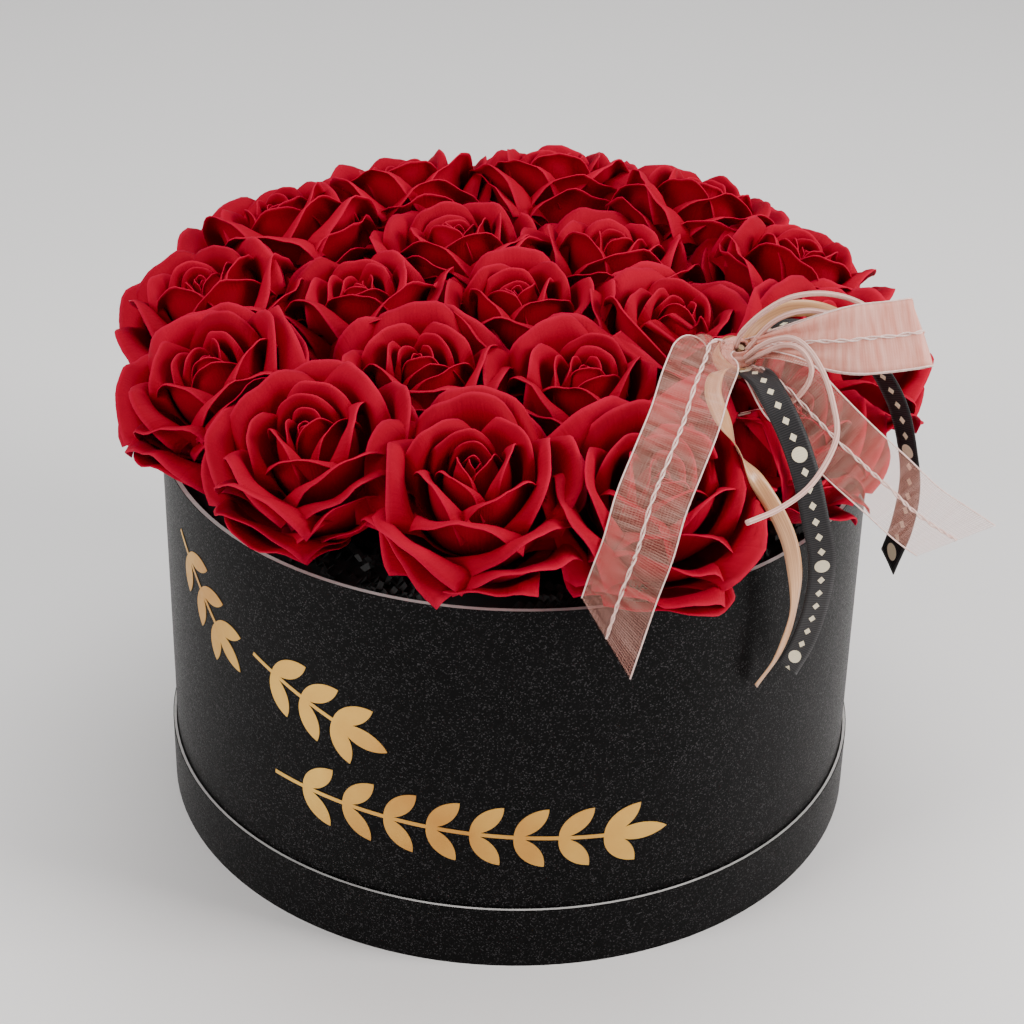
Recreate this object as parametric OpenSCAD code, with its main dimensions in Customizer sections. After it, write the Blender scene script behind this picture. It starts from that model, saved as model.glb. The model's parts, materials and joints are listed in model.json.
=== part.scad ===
// Round flower box: a paperboard hat box standing in its upturned lid, filled
// with floral foam, black paper shred and nineteen roses, with a ribbon bow on
// a pick. Millimetres, +Z up. The origin is the centre of the lid's resting
// face, and -Y is the front, where the gold sprigs are.

/* [Box] */
// Outer diameter of the wrapped box wall
box_d = 280; // [230:1:340]
// Height of the box rim above the surface that the lid rests on
box_h = 161; // [130:1:195]
// Thickness of the board of the box wall
wall_t = 1.7; // [1.4:0.1:2.2]
// Thickness of the board of the box floor
floor_t = 2; // [1.6:0.1:2.6]
// Thickness of the wrapping and lining papers
paper_t = 0.3; // [0.2:0.05:0.4]
// How far the lining paper stops below the rim
lining_drop = 4; // [2:0.5:8]

/* [Lid] */
// Height of the lid rim
lid_h = 27; // [22:1:34]
// Radial gap between the box wall and the lid rim
lid_gap = 0.5; // [0.4:0.1:1]
// Thickness of the board of the lid rim
lid_rim_t = 1; // [0.8:0.1:1.4]
// Thickness of the board of the lid disc
lid_disc_t = 1.7; // [1.4:0.1:2.2]

/* [Filling] */
// Length of a foam brick, before its corners are trimmed
brick_l = 230; // [200:1:260]
// Width of a foam brick
brick_w = 80; // [66:1:90]
// Height of a foam brick, standing on its long edge
brick_h = 110; // [90:1:120]
// Least gap between the foam and the wall's lining
foam_gap = 0.5; // [0.3:0.1:2]
// How far the paper shred lies below the rim
shred_drop = 4; // [2:0.5:10]
// Radial gap between the paper shred and the wall's lining
shred_gap = 0.5; // [0.3:0.1:2]

/* [Roses] */
// Height of a rose head, from its calyx to the top of its bud
head_h = 42; // [34:1:50]
// Height of a head's shoulder, where it reaches its full width
shoulder_h = 16; // [12:1:20]
// Radius of a head where it leaves the calyx
head_base_r = 8; // [6:0.5:10]
// Radius of a head's top
head_top_r = 15; // [12:0.5:18]
// Gap between one head's solid and the next
head_gap = 4; // [3:0.5:8]
// Distance from the wall's lining in to the outer ring of shoulders
rim_inset = 21; // [18:1:26]
// Turn of the rings of roses about the box's axis
ring_turn = -6.5; // [-15:0.5:15]
// Rise of the middle head's base above the rim
middle_rise = 14; // [10:1:20]
// Rise of the inner ring's head bases above the rim
inner_rise = 11; // [7:1:17]
// Rise of the outer ring's head bases above the rim
outer_rise = 6; // [2:0.5:10]
// Outward lean of the inner ring of roses
inner_lean = 8; // [4:1:12]
// Outward lean of the outer ring of roses
outer_lean = 18; // [12:1:22]
// Diameter of a stem
stem_d = 4; // [3:0.5:5]
// How far a stem goes into the foam
stem_grip = 30; // [22:1:40]
// Height of a calyx
calyx_h = 8; // [6:0.5:10]

/* [Gold sprigs] */
// Thickness of the gold foil
foil_t = 0.2; // [0.15:0.05:0.25]
// Length of the upper sprig
upper_sprig_l = 60; // [45:1:64]
// Length of the middle sprig
middle_sprig_l = 64; // [50:1:70]
// Length of the lower garland
garland_l = 150; // [120:1:156]
// Width of a sprig's stalk
stalk_w = 1.7; // [1.4:0.1:2.5]
// Angle between a leaf and its stalk
leaf_spread = 48; // [35:1:60]
// Width of a leaf as a share of its length
leaf_width = 0.42; // [0.3:0.01:0.55]

/* [Bow] */
// Diameter of the bow's pick
pick_d = 2.5; // [2:0.1:3]
// How far the bow's pick goes into the foam
pick_grip = 34; // [20:1:40]
// Radial clearance of the pick in the foam and the shred
pick_gap = 0.3; // [0.2:0.05:0.5]
// Radius of the knot of ribbon on the pick
knot_r = 7; // [6:0.5:8]
// Diameter of the binding wire
wire_d = 0.9; // [0.7:0.1:1.2]
// Width of the organza ribbon
organza_w = 25; // [20:1:30]
// Width of the grosgrain ribbon
grosgrain_w = 10; // [8:1:12]
// Width of the satin ribbon
satin_w = 6; // [5:0.5:7]
// Thickness of the organza ribbon
organza_t = 0.4; // [0.3:0.1:0.5]
// Thickness of the grosgrain ribbon
grosgrain_t = 0.6; // [0.4:0.1:0.8]
// Thickness of the satin ribbon
satin_t = 0.5; // [0.4:0.1:0.6]
// Diameter of the cord
cord_d = 2; // [1.5:0.1:3]

/* [Hidden] */
$fn = 96;
INNER_COUNT = 6;
OUTER_COUNT = 12;
HEAD_COUNT = 1 + INNER_COUNT + OUTER_COUNT;
ROSES = [for (i = [1:HEAD_COUNT]) str("rose_", i < 10 ? "0" : "", i)];

// A small overshoot, so that a cut passes through the face it opens.
over = 1;

// Box and lid radii, from the outside in and out.
wrap_r = box_d / 2;
wall_r = wrap_r - paper_t;
lining_r = wall_r - wall_t;
opening_r = lining_r - paper_t;
lid_in_r = wrap_r + lid_gap;
lid_rim_r = lid_in_r + lid_rim_t;
lid_r = lid_rim_r + paper_t;

// Levels, from the resting face up.
lid_disc_z = paper_t;
box_z = lid_disc_z + lid_disc_t;
foam_z = box_z + floor_t;
foam_top = foam_z + brick_h;
shred_top = box_h - shred_drop;

// The roses' rings are laid out at their shoulders, a pitch apart.
pitch = (opening_r - rim_inset) / 2;
head_r = (pitch - head_gap) / 2;

// A rose is [ring radius, turn, lean, height of the head's base].
SITES = concat(
    [[0, 0, 0, box_h + middle_rise]],
    [for (i = [0:INNER_COUNT - 1])
        [pitch, ring_turn + 360 / INNER_COUNT * i, inner_lean, box_h + inner_rise]],
    [for (i = [0:OUTER_COUNT - 1])
        [2 * pitch, ring_turn + 360 / OUTER_COUNT * i, outer_lean, box_h + outer_rise]]
);

// Where the sprigs are on the wall: [turn from the front, share of the bare
// wall's height, tilt].
UPPER_SPRIG = [-56, 0.71, -42];
MIDDLE_SPRIG = [-31, 0.575, -20];
GARLAND = [-7, 0.26, -3];
upper_leaf_l = 17;
middle_leaf_l = 19;
garland_leaf_l = 18;
sprig_pairs = 3;
garland_pairs = 8;

// The bow is drawn for a box with these sizes. For any other it is laid out
// again: outwards with the roses and the wall, round with the rings of roses,
// and up or down with the middle head's top.
drawn_r = 140;
drawn_pitch = 58.35;
drawn_turn = -6.5;
drawn_top = 217;
dome_top = box_h + middle_rise + head_h;
PLAN = [[0, 0], [2 * drawn_pitch, 2 * pitch], [drawn_r, wrap_r], [2 * drawn_r, wrap_r + drawn_r]];

function laid_out(p) =
    let (r = lookup(norm([p.x, p.y]), PLAN), turn = atan2(p.y, p.x) + ring_turn - drawn_turn)
    [r * cos(turn), r * sin(turn), p.z + dome_top - drawn_top];

// The bow's knot stands over the gap at the front right between two heads of
// the inner ring and one of the outer. Its pick goes down through the middle of
// that gap, at the level of the outer heads' bases, into the foam.
knot = laid_out([79, -64, 224]);
gap_r = 1.2 * pitch;
gap_turn = ring_turn - 180 / INNER_COUNT;
gap = [gap_r * cos(gap_turn), gap_r * sin(gap_turn), box_h + outer_rise];
pick_run = knot - gap;
pick_lean = acos(pick_run.z / norm(pick_run));
pick_turn = atan2(pick_run.y, pick_run.x);
pick_l = (knot.z - foam_top) / cos(pick_lean) + pick_grip;
pick_above = 6;
pick_point = 12;
pick_tip_d = 0.5;
wire_turns = 5;
wire_rise = 1.2;

// Routes of the ribbons' and cords' middle lines, as they are drawn.
ORGANZA_FRONT = [
    [76, -64, 226], [73, -67, 231], [69, -74, 234], [67, -84, 234], [63, -95, 229],
    [59, -108, 222], [53, -122, 213], [47, -135, 203], [43, -144, 191], [38, -149, 177],
    [33, -151, 158]
];
ORGANZA_SIDE = [
    [83, -67, 223], [88, -76, 226], [97, -86, 223], [108, -93, 214], [120, -96, 203],
    [134, -94, 189], [148, -90, 174], [164, -84, 160]
];
ORGANZA_LOOP = [
    [84, -65, 228], [93, -70, 233], [105, -74, 236], [119, -76, 238], [132, -75, 239], [144, -73, 240]
];
GROSGRAIN_FRONT = [
    [81, -69, 222], [87, -80, 225], [92, -93, 222], [98, -103, 213], [103, -110, 201],
    [107, -113, 186], [111, -112, 168], [111, -109, 148], [108, -106, 129], [103, -104, 115]
];
GROSGRAIN_SIDE = [
    [84, -62, 227], [93, -63, 236], [106, -64, 239], [120, -66, 235], [131, -68, 223],
    [139, -69, 209], [144, -70, 193], [147, -70, 176], [146, -69, 158], [142, -68, 140]
];
SATIN_FRONT = [
    [77, -69, 222], [72, -77, 224], [70, -88, 222], [73, -98, 217], [78, -106, 210],
    [85, -112, 201], [93, -115, 189], [99, -115, 175], [102, -114, 158], [102, -112, 142],
    [98, -111, 125], [91, -112, 112]
];
SATIN_LOOP = [
    [82, -60, 228], [88, -60, 236], [98, -60, 242], [110, -61, 242], [122, -62, 236],
    [132, -62, 225], [139, -62, 212], [142, -62, 198]
];
CORD_LOOP = [
    [79, -66, 229], [81, -67, 236], [88, -67, 244], [97, -67, 250], [108, -67, 252],
    [119, -67, 250], [128, -68, 245], [127, -69, 241], [116, -69, 244], [103, -69, 246],
    [92, -68, 241], [83, -66, 228]
];
CORD_TAIL = [
    [82, -69, 226], [86, -74, 233], [91, -79, 239], [97, -85, 243], [102, -93, 243],
    [107, -102, 238], [110, -111, 231], [111, -120, 224], [107, -128, 217], [100, -136, 211],
    [90, -143, 207], [79, -149, 205]
];
CORD_CURL = [
    [83, -69, 225], [88, -74, 231], [95, -77, 236], [101, -80, 236], [105, -83, 230],
    [103, -85, 223], [97, -86, 217], [88, -86, 214], [79, -87, 212]
];
// The way across each ribbon, before it is squared to the ribbon's run.
ACROSS_FRONT = [0.94, -0.17, -0.28];
ACROSS_SIDE = [0.66, 0.39, 0.64];
ACROSS_LOOP = [-0.28, 0.5, 0.82];
ACROSS_DROP = [0.95, 0.15, 0.25];
ACROSS_EDGE = [0.6, -0.7, 0.3];
CORD_SIDES = 8;
cord_guide = [0.2, 0.3, 1];

function unit(v) = v / norm(v);
function along(path, i) = unit(path[min(i + 1, len(path) - 1)] - path[max(i - 1, 0)]);

// The four corners of a ribbon's section.
function strip_ring(p, t, across, w, h) =
    let (side = unit(across - (across * t) * t), face = unit(cross(side, t)))
    [p - side * w / 2 - face * h / 2, p + side * w / 2 - face * h / 2,
     p + side * w / 2 + face * h / 2, p - side * w / 2 + face * h / 2];

// The corners of a round cord's section. No cord runs along cord_guide.
function round_ring(p, t, r, n) =
    let (side = unit(cross(t, cord_guide)), face = cross(side, t))
    [for (k = [0:n - 1]) p + r * (cos(360 / n * k) * side + sin(360 / n * k) * face)];

// A closed skin over equal rings of points.
module sweep(rings) {
    n = len(rings[0]);
    last = len(rings) - 1;
    sides = [for (i = [0:last - 1], k = [0:n - 1])
        let (a = i * n + k, b = i * n + (k + 1) % n)
        each [[a, b, a + n], [b, b + n, a + n]]];
    near = [for (k = [1:n - 2]) [0, k + 1, k]];
    far = [for (k = [1:n - 2]) [last * n, last * n + k, last * n + k + 1]];
    polyhedron([for (r = rings) each r], concat(sides, near, far));
}

module strip(drawn, across, w, h) {
    path = [for (p = drawn) laid_out(p)];
    sweep([for (i = [0:len(path) - 1]) strip_ring(path[i], along(path, i), across, w, h)]);
}

module cord(drawn) {
    path = [for (p = drawn) laid_out(p)];
    sweep([for (i = [0:len(path) - 1]) round_ring(path[i], along(path, i), cord_d / 2, CORD_SIDES)]);
}

// A plain ring about the box's axis.
module band(r_out, r_in, z_low, z_high) {
    translate([0, 0, z_low]) difference() {
        cylinder(r = r_out, h = z_high - z_low);
        translate([0, 0, -over]) cylinder(r = r_in, h = z_high - z_low + 2 * over);
    }
}

module lid_facing() {
    color("#141214") cylinder(r = lid_r, h = paper_t);
}

module lid_disc() {
    color("#6f6c68") translate([0, 0, lid_disc_z]) cylinder(r = lid_in_r, h = lid_disc_t);
}

module lid_rim() {
    color("#6f6c68") band(lid_rim_r, lid_in_r, lid_disc_z, lid_h);
}

module lid_wrap() {
    color("#1b191b") band(lid_r, lid_rim_r, lid_disc_z, lid_h);
}

module box_floor() {
    color("#6f6c68") translate([0, 0, box_z]) cylinder(r = lining_r, h = floor_t);
}

module box_wall() {
    color("#8a8682") band(wall_r, lining_r, box_z, box_h);
}

module box_wrap() {
    color("#1b191b") band(wrap_r, wall_r, box_z, box_h);
}

module box_lining() {
    color("#101010") band(lining_r, opening_r, foam_z, box_h - lining_drop);
}

// A pointed leaf along +X, where two equal arcs cross.
module leaf(l, w) {
    r = (l * l + w * w) / (4 * w);
    translate([l / 2, 0]) intersection() {
        translate([0, r - w / 2]) circle(r = r);
        translate([0, w / 2 - r]) circle(r = r);
    }
}

// A stalk with paired leaves, drawn flat and centred on its middle.
module sprig(l, pairs, leaf_l) {
    leaf_w = leaf_l * leaf_width;
    reach = l - leaf_l;
    translate([-l / 2, -stalk_w / 2]) square([reach, stalk_w]);
    for (i = [1:pairs], side = [-1, 1])
        translate([-l / 2 + reach * i / pairs - leaf_l / 4, 0])
            rotate(side * leaf_spread) leaf(leaf_l, leaf_w);
    translate([l / 2 - leaf_l - stalk_w, 0]) leaf(leaf_l + stalk_w, leaf_w);
}

// Foil on the wall: a flat outline pushed onto a thin shell about the wall.
module foil(place) {
    z = lid_h + place[1] * (box_h - lid_h);
    intersection() {
        rotate(place[0]) translate([0, 0, z]) rotate([90, 0, 0])
            linear_extrude(wrap_r + over) rotate(place[2]) children();
        band(wrap_r + foil_t, wrap_r, lid_h, box_h);
    }
}

module foil_sprig_upper() {
    color("#c9a24e") foil(UPPER_SPRIG) sprig(upper_sprig_l, sprig_pairs, upper_leaf_l);
}

module foil_sprig_middle() {
    color("#c9a24e") foil(MIDDLE_SPRIG) sprig(middle_sprig_l, sprig_pairs, middle_leaf_l);
}

module foil_garland() {
    color("#c08a4a") foil(GARLAND) sprig(garland_l, garland_pairs, garland_leaf_l);
}

// Things placed on a rose's own axis, with z = 0 at the head's base.
module on_rose(site) {
    shoulder = [site[0], 0, site[3] + shoulder_h * cos(site[2])];
    rotate(site[1]) translate(shoulder) rotate([0, site[2], 0])
        translate([0, 0, -shoulder_h]) children();
}

// How far along its axis a rose's stem reaches below the head's base.
function stem_reach(site) = (site[3] - foam_top + stem_grip) / cos(site[2]);

module stem_rods(r) {
    for (site = SITES)
        on_rose(site) translate([0, 0, -stem_reach(site)]) cylinder(r = r, h = stem_reach(site) - calyx_h);
}

// Things placed on the pick's axis, with z = 0 at the knot's centre.
module on_pick() {
    translate(knot) rotate(pick_turn) rotate([0, pick_lean, 0]) children();
}

module pick_bore() {
    on_pick() translate([0, 0, -pick_l]) cylinder(r = pick_d / 2 + pick_gap, h = pick_l);
}

// One foam brick on edge, its corners trimmed to the box, with the stems' holes.
module foam_brick(step) {
    color("#4d6b4a") difference() {
        intersection() {
            translate([-brick_l / 2, (step - 0.5) * brick_w, foam_z]) cube([brick_l, brick_w, brick_h]);
            translate([0, 0, foam_z]) cylinder(r = opening_r - foam_gap, h = brick_h);
        }
        stem_rods(stem_d / 2);
        pick_bore();
    }
}

module paper_shred() {
    color("#0c0c0d") difference() {
        translate([0, 0, foam_top]) cylinder(r = opening_r - shred_gap, h = shred_top - foam_top);
        stem_rods(stem_d / 2);
        pick_bore();
        for (site = SITES) on_rose(site) calyx_cup();
    }
}

module stems() {
    color("#3d6b35") stem_rods(stem_d / 2);
}

module calyx_cup() {
    translate([0, 0, -calyx_h]) cylinder(r1 = stem_d / 2, r2 = head_base_r, h = calyx_h);
}

module calyxes() {
    color("#4a7a3c") for (site = SITES) on_rose(site) calyx_cup();
}

module rose_head(i) {
    color("#b0001e") on_rose(SITES[i]) rotate_extrude()
        polygon([[0, 0], [head_base_r, 0], [head_r, shoulder_h],
                 [head_r, head_h - shoulder_h / 2], [head_top_r, head_h], [0, head_h]]);
}

module bow_pick() {
    color("#cbb083") on_pick() {
        translate([0, 0, pick_point - pick_l])
            cylinder(r = pick_d / 2, h = pick_l - pick_point + pick_above);
        translate([0, 0, -pick_l])
            cylinder(r1 = pick_tip_d / 2, r2 = pick_d / 2, h = pick_point);
    }
}

module bow_knot() {
    color("#e6c9bf") on_pick() difference() {
        sphere(r = knot_r);
        cylinder(r = pick_d / 2, h = 4 * knot_r, center = true);
    }
}

// Binding wire: a stack of plain rings round the pick, just under the knot.
module binding_wire() {
    color("#b8b8b8") on_pick() for (i = [1:wire_turns])
        translate([0, 0, -knot_r - i * wire_rise])
            rotate_extrude() translate([pick_d / 2 + wire_d / 2, 0]) circle(d = wire_d, $fn = 24);
}

module organza_front_tail() {
    color("#e8b7ae") strip(ORGANZA_FRONT, ACROSS_FRONT, organza_w, organza_t);
}

module organza_side_tail() {
    color("#e8b7ae") strip(ORGANZA_SIDE, ACROSS_SIDE, organza_w, organza_t);
}

module organza_loop() {
    color("#f0dcd6") strip(ORGANZA_LOOP, ACROSS_LOOP, organza_w, organza_t);
}

module grosgrain_front_tail() {
    color("#201d1e") strip(GROSGRAIN_FRONT, ACROSS_DROP, grosgrain_w, grosgrain_t);
}

module grosgrain_side_tail() {
    color("#201d1e") strip(GROSGRAIN_SIDE, ACROSS_EDGE, grosgrain_w, grosgrain_t);
}

module satin_front_tail() {
    color("#c9a36a") strip(SATIN_FRONT, ACROSS_DROP, satin_w, satin_t);
}

module satin_loop() {
    color("#c9a36a") strip(SATIN_LOOP, ACROSS_LOOP, satin_w, satin_t);
}

module cord_loop() {
    color("#f0d6cf") cord(CORD_LOOP);
}

module cord_tail() {
    color("#f0d6cf") cord(CORD_TAIL);
}

module cord_curl() {
    color("#f0d6cf") cord(CORD_CURL);
}

lid_facing();
lid_disc();
lid_rim();
lid_wrap();
box_floor();
box_wall();
box_wrap();
box_lining();
foil_sprig_upper();
foil_sprig_middle();
foil_garland();
foam_brick(-1);  // foam_brick_front
foam_brick(0);  // foam_brick_middle
foam_brick(1);  // foam_brick_back
paper_shred();
stems();
calyxes();
for (i = [0:HEAD_COUNT - 1]) rose_head(i);
bow_pick();
bow_knot();
binding_wire();
organza_front_tail();
organza_side_tail();
organza_loop();
grosgrain_front_tail();
grosgrain_side_tail();
satin_front_tail();
satin_loop();
cord_loop();
cord_tail();
cord_curl();
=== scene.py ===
"""Looks for the flower box: a hat box in its own lid, nineteen roses, paper shred and a ribbon bow.

Everything is in metres, in the frame of the CAD part: +Z up, the front towards -Y, and the origin at
the centre of the lid's resting face.
"""

import json
import math
from collections import namedtuple

import bpy
import numpy as np
from mathutils import Matrix, Vector


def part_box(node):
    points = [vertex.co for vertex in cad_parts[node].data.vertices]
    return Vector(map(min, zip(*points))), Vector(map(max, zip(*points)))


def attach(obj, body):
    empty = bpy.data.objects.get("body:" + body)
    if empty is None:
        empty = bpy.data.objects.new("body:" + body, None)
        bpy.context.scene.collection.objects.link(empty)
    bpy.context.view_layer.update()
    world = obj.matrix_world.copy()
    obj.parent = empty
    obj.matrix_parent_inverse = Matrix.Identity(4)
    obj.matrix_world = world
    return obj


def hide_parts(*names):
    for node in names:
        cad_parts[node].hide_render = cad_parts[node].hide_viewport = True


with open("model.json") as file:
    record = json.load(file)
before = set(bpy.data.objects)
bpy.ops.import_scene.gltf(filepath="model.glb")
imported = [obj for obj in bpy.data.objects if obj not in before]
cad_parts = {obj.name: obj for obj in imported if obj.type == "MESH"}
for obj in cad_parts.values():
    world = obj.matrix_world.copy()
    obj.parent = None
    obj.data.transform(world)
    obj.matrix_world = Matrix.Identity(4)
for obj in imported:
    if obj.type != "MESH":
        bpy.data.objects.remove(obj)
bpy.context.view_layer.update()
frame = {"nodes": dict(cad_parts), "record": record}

MM = 0.001
UP = np.array([0.0, 0.0, 1.0])
SEED = 1911


# ---------------------------------------------------------------------------------------------
# The frame's own sizes
# ---------------------------------------------------------------------------------------------

def size_of(node):
    """The lowest corner, the highest corner and the middle of a CAD node."""
    low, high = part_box(node)
    return np.array(low), np.array(high), (np.array(low) + np.array(high)) / 2


RIM_Z = size_of("box_wrap")[1][2]
LID_TOP = size_of("lid_rim")[1][2]
SHRED_R, _, SHRED_TOP = size_of("paper_shred")[1]
knot_low, knot_high, KNOT = size_of("bow_knot")
KNOT_R = (knot_high[2] - knot_low[2]) / 2
ROSES = sorted(node for node in frame["nodes"] if node.startswith("rose_"))
head_low, head_high, _ = size_of("rose_01")
HEAD_H = head_high[2] - head_low[2]
# How far the inner ring of roses stands from the box's axis.
PITCH = math.hypot(*size_of("rose_02")[2][:2])


# ---------------------------------------------------------------------------------------------
# Camera and light
# ---------------------------------------------------------------------------------------------

def add_camera():
    """A long lens looking down at the front of the box, held a degree out of level."""
    aim = np.array([-0.0008, 0.0241, 0.103])
    distance = 1.0876
    elevation = math.radians(31.1)
    roll = math.radians(1.22)
    forward = np.array([0.0, math.cos(elevation), -math.sin(elevation)])
    level = np.array([1.0, 0.0, 0.0])
    rise = np.cross(level, forward)
    right = math.cos(roll) * level + math.sin(roll) * rise
    top = -math.sin(roll) * level + math.cos(roll) * rise
    place = aim - distance * forward
    data = bpy.data.cameras.new("camera")
    data.sensor_width = 36.0
    data.lens = 91.65
    data.clip_start = 0.05
    camera = bpy.data.objects.new("camera", data)
    bpy.context.scene.collection.objects.link(camera)
    turn = Matrix((right, top, -forward)).transposed().to_4x4()
    camera.matrix_world = Matrix.Translation(Vector(place)) @ turn
    bpy.context.scene.camera = camera


def add_softbox(name, place, aim, width, height, power, tint=(1.0, 1.0, 1.0)):
    """A soft rectangular lamp, turned to face its aim."""
    data = bpy.data.lights.new(name, "AREA")
    data.shape = "RECTANGLE"
    data.size = width
    data.size_y = height
    data.energy = power
    data.color = tint
    light = bpy.data.objects.new(name, data)
    light.location = place
    light.rotation_euler = (Vector(aim) - Vector(place)).to_track_quat("-Z", "Y").to_euler()
    bpy.context.scene.collection.objects.link(light)


def add_lights():
    """Three soft boxes round the middle of the object, in a pale room."""
    middle = (0.0, 0.0, 0.12)
    add_softbox("key_left", (-1.15, -0.75, 0.95), middle, 0.7, 0.9, 17.0, (1.0, 0.98, 0.96))
    add_softbox("fill_right", (1.2, -0.35, 0.7), middle, 0.5, 0.9, 22.0, (1.0, 0.96, 0.94))
    add_softbox("top", (0.1, 0.35, 1.5), middle, 0.9, 0.9, 15.0)
    world = bpy.data.worlds.new("studio")
    world.use_nodes = True
    backdrop = world.node_tree.nodes["Background"]
    backdrop.inputs["Color"].default_value = (0.9, 0.9, 0.92, 1.0)
    backdrop.inputs["Strength"].default_value = 0.42
    bpy.context.scene.world = world


# ---------------------------------------------------------------------------------------------
# Meshes
# ---------------------------------------------------------------------------------------------

def smooth(x):
    """0 below 0, 1 above 1, and an even S between."""
    t = np.clip(x, 0.0, 1.0)
    return t * t * (3.0 - 2.0 * t)


def unit(v):
    """Vectors in the same directions, a unit long."""
    return v / np.maximum(np.linalg.norm(v, axis=-1, keepdims=True), 1e-12)


def grid_normals(grid):
    """The unit normal at each point of a grid of points."""
    along = np.gradient(grid, axis=0)
    across = np.gradient(grid, axis=1)
    return unit(np.cross(along, across))


def shell(grid, thickness):
    """A closed skin of that thickness on both sides of a grid of points: its points and its quads."""
    rows, cols = grid.shape[:2]
    offset = grid_normals(grid) * thickness / 2
    points = np.concatenate([(grid + offset).reshape(-1, 3), (grid - offset).reshape(-1, 3)])
    index = np.arange(rows * cols).reshape(rows, cols)
    a, b, c, d = index[:-1, :-1], index[:-1, 1:], index[1:, 1:], index[1:, :-1]
    front = np.stack([a, d, c, b], -1).reshape(-1, 4)
    back = np.stack([a, b, c, d], -1).reshape(-1, 4) + rows * cols
    rim = np.concatenate([index[0, :-1], index[:-1, -1], index[-1, :0:-1], index[:0:-1, 0]])
    following = np.roll(rim, -1)
    edge = np.stack([rim, following, following + rows * cols, rim + rows * cols], -1)
    return points, np.concatenate([front, back, edge])


def make_mesh(name, points, faces, tint=None, uv=None):
    """A smooth-shaded mesh object. tint is one colour a point; uv is one pair a point."""
    mesh = bpy.data.meshes.new(name)
    mesh.from_pydata(points.tolist(), [], faces if isinstance(faces, list) else faces.tolist())
    mesh.update()
    if tint is not None:
        attribute = mesh.attributes.new("tint", "FLOAT_COLOR", "POINT")
        attribute.data.foreach_set("color", np.asarray(tint, np.float32).ravel())
    if uv is not None:
        loops = np.empty(len(mesh.loops), np.int32)
        mesh.loops.foreach_get("vertex_index", loops)
        layer = mesh.uv_layers.new(name="UVMap")
        layer.data.foreach_set("uv", np.asarray(uv, np.float32)[loops].ravel())
    mesh.polygons.foreach_set("use_smooth", np.ones(len(mesh.polygons), bool))
    piece = bpy.data.objects.new(name, mesh)
    bpy.context.scene.collection.objects.link(piece)
    return piece


class Parts:
    """Gathers many small closed skins into one mesh."""

    def __init__(self):
        self.points, self.faces, self.colours, self.uvs, self.count = [], [], [], [], 0

    def add(self, points, faces, colours, uv):
        self.points.append(points)
        self.faces.append(faces + self.count)
        self.colours.append(colours)
        self.uvs.append(uv)
        self.count += len(points)

    def build(self, name):
        return make_mesh(name, np.concatenate(self.points), np.concatenate(self.faces),
                         np.concatenate(self.colours), np.concatenate(self.uvs))


def rotation(axis, angle):
    """The matrix of a turn about an axis through the origin."""
    return np.array(Matrix.Rotation(angle, 3, Vector(axis)))


# ---------------------------------------------------------------------------------------------
# Materials
# ---------------------------------------------------------------------------------------------

class Shader:
    """A material's node tree, with short ways to add and join nodes."""

    def __init__(self, name, **sockets):
        self.material = bpy.data.materials.new(name)
        self.material.use_nodes = True
        self.tree = self.material.node_tree
        self.surface = self.tree.nodes["Principled BSDF"]
        for socket, value in sockets.items():
            self.surface.inputs[socket.replace("_", " ")].default_value = value

    def feed(self, socket, value):
        """Joins another node's output to a socket, or sets the socket to a plain value."""
        if isinstance(value, bpy.types.NodeSocket):
            self.tree.links.new(value, socket)
        else:
            socket.default_value = value

    def node(self, kind, inputs=None, **settings):
        made = self.tree.nodes.new(kind)
        for name, value in settings.items():
            setattr(made, name, value)
        for name, value in (inputs or {}).items():
            self.feed(made.inputs[name], value)
        return made

    def join(self, output, socket):
        """Joins a node's output to a socket of the surface itself."""
        self.tree.links.new(output, self.surface.inputs[socket])

    def coordinates(self, kind="Object", scale=(1.0, 1.0, 1.0)):
        source = self.node("ShaderNodeTexCoord").outputs[kind]
        return self.node("ShaderNodeMapping", {"Vector": source, "Scale": scale}).outputs["Vector"]

    def noise(self, vector, scale, detail=3.0, roughness=0.55):
        settings = {"Vector": vector, "Scale": scale, "Detail": detail, "Roughness": roughness}
        return self.node("ShaderNodeTexNoise", settings).outputs["Fac"]

    def ramp(self, factor, stops):
        """Colours, or plain levels, blended from stop to stop along the factor."""
        made = self.node("ShaderNodeValToRGB", {"Fac": factor})
        elements = made.color_ramp.elements
        while len(elements) < len(stops):
            elements.new(0.5)
        for element, (place, colour) in zip(elements, stops):
            element.position = place
            element.color = colour if hasattr(colour, "__len__") else (colour, colour, colour, 1.0)
        return made.outputs["Color"]

    def mix(self, factor, a, b):
        """Colour a where the factor is 0 and colour b where it is 1."""
        made = self.node("ShaderNodeMix", data_type="RGBA")
        for socket, value in zip((made.inputs[0], made.inputs[6], made.inputs[7]), (factor, a, b)):
            self.feed(socket, value)
        return made.outputs[2]

    def maths(self, operation, a, b=0.0, clamp=False):
        made = self.node("ShaderNodeMath", operation=operation, use_clamp=clamp)
        for socket, value in zip(made.inputs, (a, b)):
            self.feed(socket, value)
        return made.outputs[0]

    def bands(self, vector, direction, period, distortion=0.0):
        """Even bright lines, one each period along the direction."""
        settings = {"Vector": vector, "Scale": math.pi / 10.0 / period, "Distortion": distortion,
                    "Detail": 2.0, "Detail Scale": 1.5}
        return self.node("ShaderNodeTexWave", settings, bands_direction=direction).outputs["Fac"]

    def tint(self):
        """The red, green and blue of a mesh's point colours."""
        source = self.node("ShaderNodeAttribute", attribute_name="tint").outputs["Color"]
        return self.node("ShaderNodeSeparateColor", {"Color": source}).outputs

    def bump(self, height, strength, distance):
        settings = {"Height": height, "Strength": strength, "Distance": distance}
        self.join(self.node("ShaderNodeBump", settings).outputs["Normal"], "Normal")


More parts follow.
